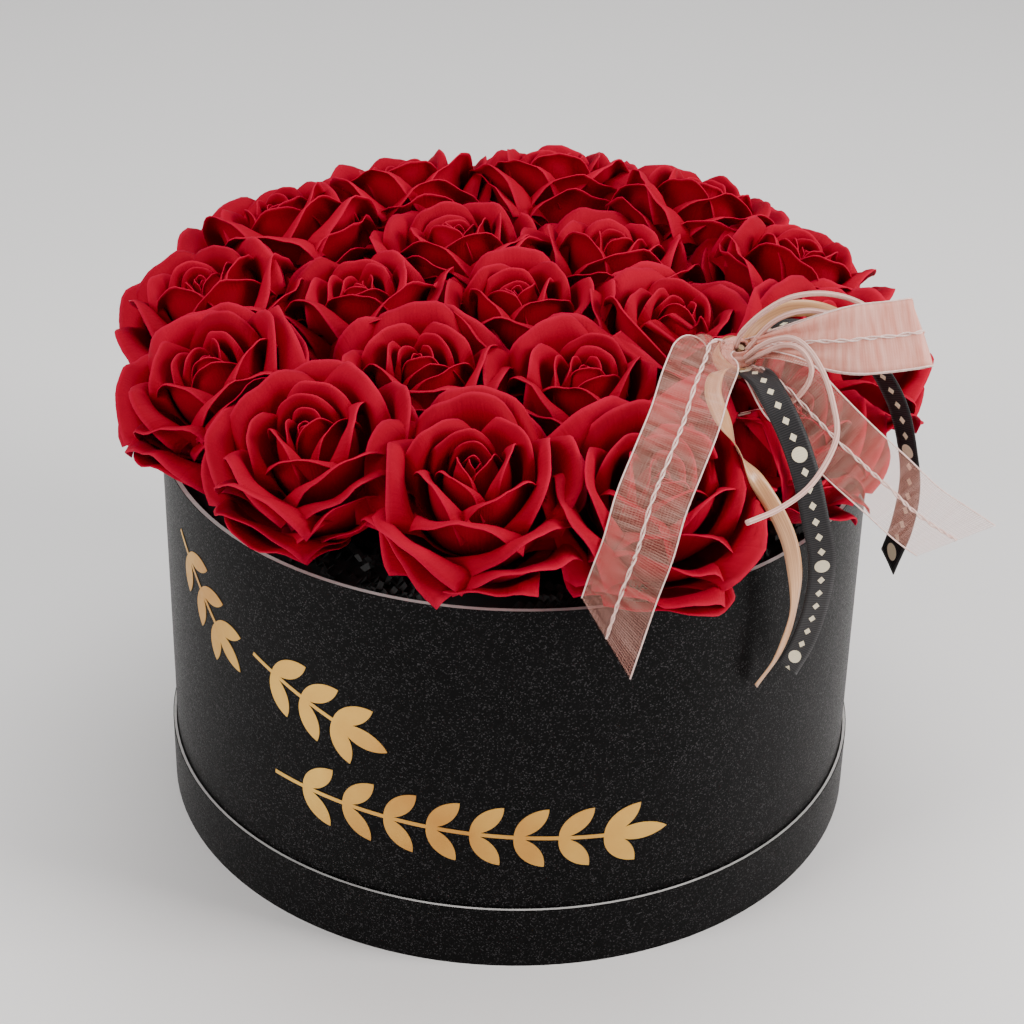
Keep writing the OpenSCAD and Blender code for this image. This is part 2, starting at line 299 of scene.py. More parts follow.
def petal_material():
    """Velvety crimson, with a painted highlight along the thin rims, and faint lengthwise veins."""
    s = Shader("petals", Roughness=0.7, Sheen_Weight=0.04, Sheen_Roughness=0.5,
               Sheen_Tint=(1.0, 0.02, 0.2, 1.0), Specular_IOR_Level=0.06)
    tint = s.tint()
    soft = s.noise(s.coordinates("Object"), 60.0)
    depth = s.maths("ADD", s.maths("MULTIPLY", tint["Blue"], 0.6), s.maths("MULTIPLY", soft, 0.5), True)
    body = s.ramp(depth, [(0.1, (0.21, 0.0, 0.008, 1.0)), (0.55, (0.31, 0.0, 0.014, 1.0)),
                          (1.0, (0.39, 0.0, 0.020, 1.0))])
    # Painted highlight: the thin rims are painted paler, as if they catch the light.
    rim = s.ramp(tint["Red"], [(0.75, 0.0), (1.0, 0.5)])
    s.join(s.mix(rim, body, (0.60, 0.004, 0.045, 1.0)), "Base Color")
    veins = s.noise(s.coordinates("UV", (44.0, 1.8, 1.0)), 1.0, 4.0, 0.6)
    s.bump(veins, 0.5, 0.6 * MM)
    return s.material


def wrap_material():
    """Black pearl paper: near black, with fine flecks painted bright, partly the pearl's own paler colour
    and partly a painted sparkle, and a slow mottle.
    """
    s = Shader("pearl_paper", Specular_IOR_Level=0.06)
    place = s.coordinates("Object")
    flecks = s.node("ShaderNodeTexVoronoi", {"Vector": place, "Scale": 2400.0}).outputs["Color"]
    fleck = s.node("ShaderNodeSeparateColor", {"Color": flecks}).outputs["Red"]
    # The pearl flecks: partly their own paler colour, partly a painted sparkle of glints.
    flecks_and_sparkle = s.ramp(fleck, [(0.84, 0.0), (1.0, 1.0)])
    mottle = s.noise(place, 45.0, 5.0)
    body = s.ramp(mottle, [(0.3, (0.0010, 0.0010, 0.0010, 1.0)), (0.75, (0.0026, 0.0024, 0.0025, 1.0))])
    s.join(s.mix(flecks_and_sparkle, body, (0.045, 0.042, 0.044, 1.0)), "Base Color")
    s.join(s.ramp(fleck, [(0.0, 0.5), (1.0, 0.3)]), "Roughness")
    s.bump(s.noise(place, 1300.0, 2.0), 0.25, 0.25 * MM)
    return s.material


def paper_material(name, dark, light, roughness, scale):
    """Plain board or paper: short fibres, a soft mottle and a little tooth."""
    s = Shader(name, Roughness=roughness, Specular_IOR_Level=0.3)
    place = s.coordinates("Object")
    fibres = s.noise(s.coordinates("Object", (1.0, 1.0, 4.0)), scale, 6.0, 0.7)
    mottle = s.mix(0.5, fibres, s.noise(place, scale / 8.0))
    s.join(s.ramp(mottle, [(0.3, dark), (0.7, light)]), "Base Color")
    s.bump(fibres, 0.3, 0.2 * MM)
    return s.material


def foil_material():
    """Hot-stamped gold foil: a warm metal that dulls and coppers in patches."""
    s = Shader("gold_foil", Metallic=1.0)
    place = s.coordinates("Object")
    patch = s.noise(place, 14.0, 3.0)
    gold = s.ramp(patch, [(0.35, (0.55, 0.25, 0.06, 1.0)), (0.65, (0.78, 0.47, 0.11, 1.0))])
    s.join(gold, "Base Color")
    s.join(s.ramp(s.noise(place, 300.0), [(0.3, 0.3), (0.8, 0.48)]), "Roughness")
    s.bump(s.noise(place, 1500.0, 2.0), 0.15, 0.1 * MM)
    return s.material


def foam_material():
    """Green floral foam with fine open cells."""
    s = Shader("floral_foam", Roughness=0.95, Specular_IOR_Level=0.1)
    cells = s.node("ShaderNodeTexVoronoi", {"Vector": s.coordinates("Object"), "Scale": 900.0})
    depth = cells.outputs["Distance"]
    s.join(s.ramp(depth, [(0.0, (0.05, 0.12, 0.05, 1.0)), (0.5, (0.16, 0.3, 0.15, 1.0))]), "Base Color")
    s.bump(depth, 0.6, 0.4 * MM)
    return s.material


def green_material(name, dark, light):
    """Stems and calyxes: green, grained along their length."""
    s = Shader(name, Roughness=0.6, Specular_IOR_Level=0.3)
    grain = s.noise(s.coordinates("Object", (6.0, 6.0, 1.0)), 160.0, 4.0)
    s.join(s.ramp(grain, [(0.3, dark), (0.7, light)]), "Base Color")
    s.bump(grain, 0.3, 0.3 * MM)
    return s.material


def wood_material():
    """Pale wood, grained along the pick."""
    s = Shader("pick_wood", Roughness=0.7, Specular_IOR_Level=0.3)
    grain = s.noise(s.coordinates("Object", (12.0, 12.0, 1.0)), 90.0, 5.0)
    s.join(s.ramp(grain, [(0.3, (0.45, 0.3, 0.16, 1.0)), (0.7, (0.68, 0.52, 0.33, 1.0))]), "Base Color")
    s.bump(grain, 0.3, 0.2 * MM)
    return s.material


def wire_material():
    """Drawn steel wire, a little dull in places."""
    s = Shader("wire", Metallic=1.0)
    drawn = s.noise(s.coordinates("Object", (1.0, 1.0, 8.0)), 700.0)
    s.join(s.ramp(drawn, [(0.3, (0.5, 0.5, 0.5, 1.0)), (0.7, (0.75, 0.75, 0.74, 1.0))]), "Base Color")
    s.join(s.ramp(drawn, [(0.3, 0.3), (0.7, 0.45)]), "Roughness")
    return s.material


def organza_material():
    """Sheer weave in pale pink: fine threads both ways over clear gaps. A point's red is how solid
    it is."""
    s = Shader("organza", Roughness=0.45, Sheen_Weight=0.15, Sheen_Roughness=0.4,
               Sheen_Tint=(1.0, 0.8, 0.75, 1.0), Specular_IOR_Level=0.3)
    solid = s.tint()["Red"]
    place = s.coordinates("UV")
    weft = s.bands(place, "Y", 0.85 * MM, 1.0)
    warp = s.bands(place, "X", 1.2 * MM, 0.4)
    threads = s.maths("MAXIMUM", weft, s.maths("MULTIPLY", warp, 0.6))
    slubs = s.noise(s.coordinates("UV", (60.0, 500.0, 1.0)), 1.0, 3.0)
    cover = s.ramp(s.mix(0.5, threads, slubs), [(0.3, 0.02), (0.75, 0.22)])
    s.join(s.maths("MAXIMUM", cover, solid), "Alpha")
    s.join(s.ramp(slubs, [(0.3, (0.80, 0.30, 0.22, 1.0)), (0.75, (1.0, 0.56, 0.46, 1.0))]), "Base Color")
    s.bump(threads, 0.3, 0.15 * MM)
    return s.material


def thread_material():
    """The stitching and the corded edges of the organza: thick soft thread."""
    s = Shader("organza_thread", Roughness=0.55, Sheen_Weight=0.2, Sheen_Roughness=0.4)
    twist = s.noise(s.coordinates("Object"), 900.0, 3.0)
    s.join(s.ramp(twist, [(0.3, (0.72, 0.46, 0.40, 1.0)), (0.7, (0.94, 0.74, 0.68, 1.0))]), "Base Color")
    s.bump(twist, 0.4, 0.2 * MM)
    return s.material


def grosgrain_material():
    """Black ribbed ribbon, printed in cream with a disc and a row of small diamonds, over and over."""
    s = Shader("grosgrain", Roughness=0.5, Sheen_Weight=0.2, Sheen_Roughness=0.3, Specular_IOR_Level=0.3)
    place = s.coordinates("UV")
    apart = s.node("ShaderNodeSeparateXYZ", {"Vector": place}).outputs
    across = s.maths("ABSOLUTE", apart["X"])
    along = s.maths("MODULO", apart["Y"], MOTIF_PITCH)
    cell = s.maths("ABSOLUTE", s.maths("SUBTRACT", along, MOTIF_PITCH / 2))
    diamond = s.maths("LESS_THAN", s.maths("ADD", across, s.maths("MULTIPLY", cell, 0.8)), DIAMOND_R)
    group = s.maths("MODULO", apart["Y"], MOTIF_GROUP * MOTIF_PITCH)
    in_disc_cell = s.maths("LESS_THAN", group, MOTIF_PITCH)
    reach = s.maths("SQRT", s.maths("ADD", s.maths("POWER", across, 2.0), s.maths("POWER", cell, 2.0)))
    disc = s.maths("LESS_THAN", reach, DISC_R)
    print_mask = s.mix(in_disc_cell, diamond, disc)
    ribs = s.bands(place, "Y", 0.9 * MM, 0.1)
    body = s.ramp(ribs, [(0.2, (0.006, 0.005, 0.006, 1.0)), (0.8, (0.022, 0.02, 0.021, 1.0))])
    s.join(s.mix(print_mask, body, (0.80, 0.70, 0.50, 1.0)), "Base Color")
    s.bump(ribs, 0.5, 0.2 * MM)
    return s.material


def satin_material():
    """Champagne satin: smooth, with fine threads along its run."""
    s = Shader("satin", Roughness=0.34, Sheen_Weight=0.2, Sheen_Roughness=0.3, Specular_IOR_Level=0.6)
    threads = s.noise(s.coordinates("UV", (2200.0, 30.0, 1.0)), 1.0, 2.0)
    s.join(s.ramp(threads, [(0.3, (0.42, 0.18, 0.07, 1.0)), (0.75, (0.74, 0.42, 0.21, 1.0))]), "Base Color")
    s.bump(threads, 0.15, 0.08 * MM)
    return s.material


def cord_material():
    """Pale pink braided cord: six ribs round it, under a soft nap."""
    s = Shader("cord", Roughness=0.6, Sheen_Weight=0.2, Sheen_Roughness=0.5)
    braid = s.bands(s.coordinates("UV"), "X", math.pi * CORD_D / CORD_RIBS, 0.3)
    nap = s.noise(s.coordinates("Object"), 1200.0, 3.0)
    pink = s.ramp(s.mix(0.35, braid, nap), [(0.2, (0.56, 0.28, 0.22, 1.0)), (0.8, (0.80, 0.50, 0.43, 1.0))])
    s.join(pink, "Base Color")
    s.bump(braid, 0.25, 0.2 * MM)
    return s.material


def floor_material():
    """Plain and pale, with the faintest mottle."""
    s = Shader("pale_floor", Roughness=0.55, Specular_IOR_Level=0.3)
    soft = s.noise(s.coordinates("Object"), 3.0)
    s.join(s.ramp(soft, [(0.3, (0.86, 0.85, 0.84, 1.0)), (0.7, (0.88, 0.87, 0.86, 1.0))]), "Base Color")
    return s.material


# ---------------------------------------------------------------------------------------------
# Floor
# ---------------------------------------------------------------------------------------------

FLOOR_FLAT_R, FLOOR_BEND_R = 2.4, 1.4
FLOOR_SIDES = 64


def add_floor():
    """A round sheet: flat under the box and sweeping up a long way off, all round."""
    flat = np.linspace(0.02, FLOOR_FLAT_R, 12)
    bend = np.linspace(0.0, math.pi / 2, 13)[1:]
    reach = np.concatenate([flat, FLOOR_FLAT_R + FLOOR_BEND_R * np.sin(bend)])
    rise = np.concatenate([np.zeros(len(flat)), FLOOR_BEND_R * (1.0 - np.cos(bend))])
    turn = np.linspace(0.0, 2.0 * math.pi, FLOOR_SIDES, endpoint=False)
    grid = np.stack([np.outer(reach, np.cos(turn)), np.outer(reach, np.sin(turn)),
                     np.tile(rise[:, None], (1, FLOOR_SIDES))], -1)
    index = np.arange(len(reach) * FLOOR_SIDES).reshape(len(reach), FLOOR_SIDES)
    after = np.roll(index, -1, axis=1)
    quads = np.stack([index[:-1], index[1:], after[1:], after[:-1]], -1).reshape(-1, 4).tolist()
    floor = make_mesh("floor", grid.reshape(-1, 3), quads + [index[0].tolist()])
    floor.data.materials.append(floor_material())


# ---------------------------------------------------------------------------------------------
# Bow
# ---------------------------------------------------------------------------------------------

# The middle lines of the ribbons and cords, in millimetres from the knot's middle.
ROUTES = {
    "organza_front_tail": [
        (-3, 0, 2), (-6, -3, 7), (-10, -10, 10), (-12, -20, 10), (-16, -31, 5), (-20, -44, -2),
        (-26, -58, -11), (-32, -71, -21), (-36, -80, -33), (-41, -85, -47), (-46, -87, -66)],
    "organza_side_tail": [
        (4, -3, -1), (9, -12, 2), (18, -22, -1), (29, -29, -10), (41, -32, -21), (55, -30, -35),
        (69, -26, -50), (85, -20, -64)],
    "organza_loop": [
        (5, -1, 4), (14, -6, 9), (26, -10, 12), (40, -12, 14), (53, -11, 15), (65, -9, 16)],
    "grosgrain_front_tail": [
        (2, -5, -2), (8, -16, 1), (13, -29, -2), (19, -39, -11), (24, -46, -23), (28, -49, -38),
        (32, -48, -56), (32, -45, -76), (29, -42, -95), (24, -40, -109)],
    "grosgrain_side_tail": [
        (5, 2, 3), (14, 1, 12), (27, 0, 15), (41, -2, 11), (52, -4, -1), (60, -5, -15),
        (65, -6, -31), (68, -6, -48), (67, -5, -66), (63, -4, -84)],
    "satin_front_tail": [
        (-2, -5, -2), (-7, -13, 0), (-9, -24, -2), (-6, -34, -7), (-1, -42, -14), (6, -48, -23),
        (14, -51, -35), (20, -51, -49), (23, -50, -66), (23, -48, -82), (19, -47, -99), (12, -48, -112)],
    "satin_loop": [
        (3, 4, 4), (9, 4, 12), (19, 4, 18), (31, 3, 18), (43, 2, 12), (53, 2, 1),
        (60, 2, -12), (63, 2, -26)],
    "cord_loop": [
        (0, -2, 5), (2, -3, 12), (9, -3, 20), (18, -3, 26), (29, -3, 28), (40, -3, 26),
        (49, -4, 21), (48, -5, 17), (37, -5, 20), (24, -5, 22), (13, -4, 17), (4, -2, 4)],
    "cord_tail": [
        (3, -5, 2), (7, -10, 9), (12, -15, 15), (18, -21, 19), (23, -29, 19), (28, -38, 14),
        (31, -47, 7), (32, -56, 0), (28, -64, -7), (21, -72, -13), (11, -79, -17), (0, -85, -19)],
    "cord_curl": [
        (4, -5, 1), (9, -10, 7), (16, -13, 12), (22, -16, 12), (26, -19, 6), (24, -21, -1),
        (18, -22, -7), (9, -22, -10), (0, -23, -12)],
}
# The way across each ribbon, before it is squared to the ribbon's run.
ACROSS = {
    "organza_front_tail": (0.94, -0.17, -0.28), "organza_side_tail": (0.66, 0.39, 0.64),
    "organza_loop": (-0.28, 0.5, 0.82), "satin_loop": (-0.28, 0.5, 0.82),
    "grosgrain_front_tail": (0.95, 0.15, 0.25), "satin_front_tail": (0.95, 0.15, 0.25),
    "grosgrain_side_tail": (0.6, -0.7, 0.3),
}
# What each kind of ribbon is: how many points make it across, how far its neck at the knot is gathered,
# and how askew its end is cut, both as shares of its width.
Kind = namedtuple("Kind", "width thickness cols neck skew")
KINDS = {
    "organza": Kind(25 * MM, 0.25 * MM, 13, 0.4, 1.0),
    "grosgrain": Kind(10 * MM, 0.4 * MM, 7, 0.75, 0.5),
    "satin": Kind(6 * MM, 0.3 * MM, 5, 0.75, 0.5),
}
LOOP = KINDS["organza"]._replace(neck=0.3, skew=0.0)
LOOP_GAP = 5.0 * MM
# How far a ribbon ripples, as a share of its width.
RIPPLE = 0.035
CORD_D = 2 * MM
CORD_SIDES = 12
CORD_RIBS = 6
RIBBON_STEP, CORD_STEP = 1.5 * MM, 1.2 * MM
# The radii of the organza's corded edges and of its two stitched threads, how far those two swing from
# the middle, and how far they run in a radian of their twist.
TRIM_R, STITCH_R = 0.3 * MM, 0.35 * MM
STITCH_SWING = 0.5 * MM
STITCH_TWIST = 1.8 * MM
# How solid the organza's weave is where it lies doubled in the loop, and wrapped round the knot.
LOOP_SOLID, KNOT_SOLID = 0.8, 0.85
# The print on the grosgrain: the run of one diamond, and how many runs lie from disc to disc.
MOTIF_PITCH = 6.5 * MM
MOTIF_GROUP = 7
DISC_R, DIAMOND_R = 2.8 * MM, 1.4 * MM
# The middle of the dome of roses, which ribbons press towards.
DOME_MIDDLE = np.array([0.0, 0.0, LID_TOP + 0.6 * (RIM_Z - LID_TOP)])


def arc_length(path):
    """How far along a path each of its points is."""
    return np.concatenate([[0.0], np.cumsum(np.linalg.norm(np.diff(path, axis=0), axis=1))])


def pressing_frames(path, face, width):
    """A path with the ways across it and off its face, away from the dome, for press_under. A ribbon
    that stands edge on presses straight in."""
    run = unit(np.gradient(path, axis=0))
    outward = unit(path - DOME_MIDDLE)
    outward = unit(outward - (outward * run).sum(axis=1)[:, None] * run)
    facing = (face * outward).sum(axis=1)
    lies_flat = np.abs(facing).mean() > 0.5
    if lies_flat:
        outward = face * np.sign(facing)[:, None]
    return path, np.cross(outward, run), outward, width


def at_lengths(path, lengths):
    """Points at those distances along a path, and straight on past its end."""
    s = arc_length(path)
    past = KINDS["organza"].width
    end = path[-1] + (path[-1] - path[-2]) / (s[-1] - s[-2]) * past
    path, s = np.vstack([path, end]), np.append(s, s[-1] + past)
    return np.stack([np.interp(lengths, s, path[:, k]) for k in range(3)], -1)


def between(a, b, c, d, t):
    """Points on the smooth curve from b to c, which comes from a and goes on to d."""
    curve = 2 * a - 5 * b + 4 * c - d
    twist = 3 * b - a - 3 * c + d
    return 0.5 * (2 * b + (c - a) * t + curve * t ** 2 + twist * t ** 3)


def spline(points, step=RIBBON_STEP):
    """An even, smooth line through those points."""
    p = np.vstack([2 * points[0] - points[1], points, 2 * points[-1] - points[-2]])
    t = np.linspace(0.0, 1.0, 12, endpoint=False)[:, None]
    runs = [between(a, b, c, d, t) for a, b, c, d in zip(p, p[1:], p[2:], p[3:])]
    path = np.vstack(runs + [p[-2][None]])
    length = arc_length(path)[-1]
    return at_lengths(path, np.linspace(0.0, length, int(length / step) + 1))


def route(node, step=RIBBON_STEP):
    """The middle line of that node's ribbon or cord."""
    return spline(KNOT + np.array(ROUTES[node], float) * MM, step)


def run_frames(path, across):
    """The way along a path, across it and out of its face at each of its points."""
    run = unit(np.gradient(path, axis=0))
    across = np.asarray(across, float)
    side = unit(across - (run @ across)[:, None] * run)
    return run, side, np.cross(side, run)


def ribbon_grid(path, side, face, kind, rng, looped=False):
    """A ribbon as a grid of points: gathered in pleats to a neck at its start, cut askew at its end. A
    looped one is gathered at both ends, further out."""
    s = arc_length(path)
    share = s / s[-1]
    width = kind.width
    j = np.linspace(-0.5, 0.5, kind.cols)
    points = at_lengths(path, s[:, None] + kind.skew * width * j[None] * share[:, None] ** 6)
    from_knot = np.minimum(s, s[-1] - s) / 1.6 if looped else s
    spread = kind.neck + (1.0 - kind.neck) * smooth(from_knot / (1.1 * width))
    phase = rng.uniform(0.0, 2.0 * math.pi, 2)
    pleats = (1.0 - spread)[:, None] * 0.12 * width * np.sin(6.0 * math.pi * j + phase[0])[None]
    waves = RIPPLE * width * np.sin(s[:, None] / (0.9 * width) + 2.5 * j[None] + phase[1])
    lift = pleats + waves * smooth(3.0 * share)[:, None]
    reach = spread[:, None] * width * j
    return points + side[:, None] * reach[..., None] + face[:, None] * lift[..., None]


def twisted(side, face, s):
    """The satin tail turns over near the knot and ends nearly edge on."""
    share = s / s[-1]
    angle = 1.5 * np.exp(-((share - 0.3) / 0.07) ** 2) + 0.8 * smooth((share - 0.5) / 0.3)
    cos, sin = np.cos(angle)[:, None], np.sin(angle)[:, None]
    return side * cos + face * sin, face * cos - side * sin


def tube(path, radius, sides=6):
    """A closed round tube along a path: its points, its quads and its lengths."""
    run = unit(np.gradient(path, axis=0))
    side = unit(np.cross(run, (0.21, 0.31, 0.93)))
    face = np.cross(side, run)
    angle = np.linspace(0.0, 2.0 * math.pi, sides, endpoint=False)
    ring = np.cos(angle)[None, :, None] * side[:, None] + np.sin(angle)[None, :, None] * face[:, None]
    points = (path[:, None] + radius * ring).reshape(-1, 3)
    index = np.arange(len(path) * sides).reshape(len(path), sides)
    after = np.roll(index, -1, axis=1)
    quads = np.stack([index[:-1], after[:-1], after[1:], index[1:]], -1).reshape(-1, 4)
    far = len(points) + 1
    points = np.vstack([points, path[:1], path[-1:]])
    near_cap = np.stack([after[0], index[0], np.full(sides, far - 1)], -1)
    far_cap = np.stack([index[-1], after[-1], np.full(sides, far)], -1)
    around = np.tile(angle * radius, len(path))
    uv = np.stack([around, np.repeat(arc_length(path), sides)], -1)
    uv = np.vstack([uv, [[0.0, 0.0], [0.0, arc_length(path)[-1]]]])
    return points, quads.tolist() + near_cap.tolist() + far_cap.tolist(), uv


def tubes(name, paths, radii, sides=6):
    """Several tubes as one piece."""
    points, faces, uvs, count = [], [], [], 0
    for path, radius in zip(paths, radii):
        some_points, some_faces, uv = tube(path, radius, sides)
        points.append(some_points)
        uvs.append(uv)
        faces += [[k + count for k in face] for face in some_faces]
        count += len(some_points)
    return make_mesh(name, np.vstack(points), faces, uv=np.vstack(uvs))


def ribbon_piece(name, grid, kind, solid=0.0):
    """A ribbon's grid as a closed skin. Its uv is in metres across and along; solid is for the organza."""
    rows, cols = grid.shape[:2]
    points, faces = shell(grid, kind.thickness)
    across = np.linspace(-kind.width / 2, kind.width / 2, cols)
    along = arc_length(grid[:, cols // 2])
    uv = np.stack(np.meshgrid(across, along), -1).reshape(-1, 2)
    tint = np.tile((solid, 0.0, 0.0, 1.0), (2 * rows * cols, 1))
    return make_mesh(name, points, faces, tint, np.tile(uv, (2, 1)))


def dress(piece, material, slot, *nodes):
    """Makes a piece part of the bow, in place of those CAD nodes."""
    piece.data.materials.append(material)
    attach(piece, "bow")
    if nodes:
        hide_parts(*nodes)


def organza_trim(name, grid, face, rng):
    """The corded edges and the stitched middle line of an organza ribbon, as one piece."""
    middle = grid[:, grid.shape[1] // 2]
    s = arc_length(middle)
    side = unit(grid[:, -1] - grid[:, 0])
    strands = [grid[:, 0], grid[:, -1]]
    for start in (0.0, math.pi):
        turn = s / STITCH_TWIST + start + 0.6 * np.sin(s / (4.0 * MM) + rng.uniform(0.0, 6.0))
        strands.append(middle + side * (STITCH_SWING * np.sin(turn))[:, None]
                       + face * (STITCH_R * np.cos(turn) + KINDS["organza"].thickness)[:, None])
    return tubes(name, strands, [TRIM_R, TRIM_R, STITCH_R, STITCH_R])


def doubled(path, face, gap):
    """A path out, round a tight fold and back again, a gap below."""
    s = arc_length(path)
    drop = gap * np.sin(np.clip(s / s[-1], 0.0, 1.0) * math.pi / 2)
    fold = path[-1] + (path[-1] - path[-2]) - face[-1] * gap / 2
    back = (path - face * drop[:, None])[::-1]
    return np.vstack([path, fold[None], back])


def add_ribbons(materials):
    """The ribbons. Gives what presses on the roses: a middle line, its sides, its faces and a width."""
    pressing = []
    for number, (node, across) in enumerate(ACROSS.items()):
        rng = np.random.default_rng(SEED + 500 + number)
        slot = node.split("_")[0]
        kind = KINDS[slot]
        name = node.replace("_", ".", 1)
        path = route(node)
        _, side, face = run_frames(path, across)
        looped = node == "organza_loop"
        if looped:
            kind = LOOP
            # Every third point is enough, and the fold comes out round.
            path = spline(doubled(path, face, LOOP_GAP)[::3])
            _, side, face = run_frames(path, across)
        if node == "satin_front_tail":
            side, face = twisted(side, face, arc_length(path))
        grid = ribbon_grid(path, side, face, kind, rng, looped)
        piece = ribbon_piece(name, grid, kind, LOOP_SOLID if looped else 0.0)
        dress(piece, materials[slot], slot, node)
        if slot == "organza":
            trim = organza_trim(name + ".trim", grid, face, rng)
            dress(trim, materials["thread"], slot)
        if "loop" not in node:
            pressing.append(pressing_frames(path, face, kind.width))
    return pressing


def add_cords(material):
    """The three cords. Gives what presses on the roses, as add_ribbons does."""
    pressing = []
    for node in ("cord_loop", "cord_tail", "cord_curl"):
        path = route(node, CORD_STEP)
        piece = tubes(node.replace("_", "."), [path], [CORD_D / 2], CORD_SIDES)
        dress(piece, material, "cord", node)
        pressing.append(pressing_frames(path, run_frames(path, (1.0, 0.2, 0.0))[2], CORD_D))
    return pressing


def add_knot(organza, satin):
    """The knot: pleated organza wrapped three ways round the pick, and a satin band over it."""
    pick = unit(KNOT - size_of("binding_wire")[2])
    rng = np.random.default_rng(SEED + 900)
    wraps = Parts()
    turns = np.linspace(0.0, 2.0 * math.pi, 49)
    spread = np.linspace(-0.75, 0.75, 21)
    for tilt in (-0.5, 0.0, 0.5):
        pleats = 0.5 * MM * np.sin(spread * 17.0 + tilt * 9.0)
        radius = KNOT_R * (0.98 + 0.03 * rng.uniform(-1.0, 1.0)) + pleats
        ring = np.stack([np.cos(turns)[:, None] * np.cos(spread) * radius,
                         np.sin(turns)[:, None] * np.cos(spread) * radius,
                         np.ones(len(turns))[:, None] * np.sin(spread) * radius], -1)
        turn = rotation((1, 0, 0), tilt) @ rotation((0, 0, 1), tilt * 5.0)
        grid = ring @ turn.T
        points, faces = shell(grid, KINDS["organza"].thickness)
        uv = np.stack(np.meshgrid(spread * KNOT_R, turns * KNOT_R), -1).reshape(-1, 2)
        tint = np.tile((KNOT_SOLID, 0.0, 0.0, 1.0), (len(points), 1))
        wraps.add(points, faces, tint, np.tile(uv, (2, 1)))
    knot = wraps.build("bow.knot")
    stand = Vector(pick).to_track_quat("Z", "Y").to_matrix().to_4x4()
    knot.data.transform(Matrix.Translation(Vector(KNOT)) @ stand)
    dress(knot, organza, "organza", "bow_knot")
    band_kind = KINDS["satin"]
    band_r = KNOT_R * 1.07
    ring = np.stack([np.cos(turns) * band_r, np.sin(turns) * band_r, np.zeros(len(turns))], -1)
    across = np.linspace(-0.5, 0.5, band_kind.cols) * band_kind.width
    grid = ring[:, None] + UP * across[None, :, None]
    band = ribbon_piece("bow.band", grid, band_kind)
    band.data.transform(Matrix.Translation(Vector(KNOT)) @ stand)
    dress(band, satin, "satin")


# ---------------------------------------------------------------------------------------------
# Roses
# ---------------------------------------------------------------------------------------------

# The rings of a rose's petals from the bud out, in millimetres and degrees. belly is how far a petal
# stands outside a straight line from its foot to its lip; lip is the length of the rolled edge.
Ring = namedtuple("Ring", "count radius height foot_z belly lip roll half_width wave spiral")
RINGS = (
    Ring(3, 2.6, 40.0, 16.0, 2.8, 2.5, 30.0, 8.5, 0.2, 0.30),
    Ring(3, 6.0, 41.0, 14.0, 3.2, 4.0, 75.0, 11.5, 0.3, 0.20),
    Ring(3, 10.5, 40.5, 12.0, 3.0, 5.5, 100.0, 15.0, 0.5, 0.14),
    Ring(4, 16.0, 39.5, 10.0, 2.4, 7.5, 120.0, 19.0, 0.8, 0.10),
    Ring(4, 22.5, 37.5, 7.0, 2.0, 10.0, 130.0, 24.0, 1.2, 0.07),
    Ring(5, 28.0, 32.5, 4.0, 1.6, 11.5, 125.0, 26.0, 1.5, 0.06),
    Ring(5, 30.0, 25.5, 2.0, 1.2, 11.0, 105.0, 26.5, 1.8, 0.06),
    Ring(4, 30.5, 18.0, 0.0, 0.6, 9.0, 75.0, 26.0, 1.8, 0.06),
)
# How much of a petal's length lies below its lip, and how far from the axis its foot is.
BODY_SHARE = 0.74
FOOT_R = 2.5
PETAL_THICKNESS = 0.42
PETAL_ROWS, PETAL_COLS = 19, 17
GOLDEN_TURN = math.radians(137.5)
# Past this radius a petal with a neighbour rose beside it has no room, and stands up instead.
CROWDED_R = 31.0
INNER_LEAN, OUTER_LEAN = math.radians(8.0), math.radians(18.0)
# How far the outer ring stands above its CAD heads, in millimetres, and how much more at the back.
OUTER_LIFT, BACK_LIFT = 3.0, 5.0
# The big rose beside the bow is larger, lower and further out than its ring.
BIG_ROSE = "rose_18"
BIG_SIZE, BIG_LIFT, BIG_LEAN = 1.1, -5.0, math.radians(7.0)
# How far under a ribbon the petals are pressed, how far beside it they ease off, from how high, and how
# far round a ribbon they are looked for.
PRESS_GAP = 1.2 * MM
PRESS_EASE = 5.0 * MM
PRESS_REACH = 26.0 * MM
PRESS_SEARCH = 30.0 * MM


def bezier(t, a, b, c, d):
    """A cubic curve through a and d, and its slope."""
    s = 1.0 - t
    place = s ** 3 * a + 3 * s * s * t * b + 3 * s * t * t * c + t ** 3 * d
    slope = 3 * s * s * (b - a) + 6 * s * t * (c - b) + 3 * t * t * (d - c)
    return place, slope


def round_axis(out, u, v, radius, half_width):
    """A petal's width, laid round the rose's axis, or round an axis nearer the petal where it is wide
    and open."""
    wrap_r = 4.0 + 0.78 * radius
    centre = max(radius - wrap_r, 0.0) * smooth(v / 0.8)
    width = (0.34 + 0.66 * smooth(v / 0.5)) * (1.0 - 0.08 * smooth((v - 0.7) / 0.3))
    away = np.maximum(out - centre, 0.5)
    angle = np.clip(u * half_width * width / np.maximum(away, 3.2), -2.0, 2.0)
    return centre + away * np.cos(angle), away * np.sin(angle)


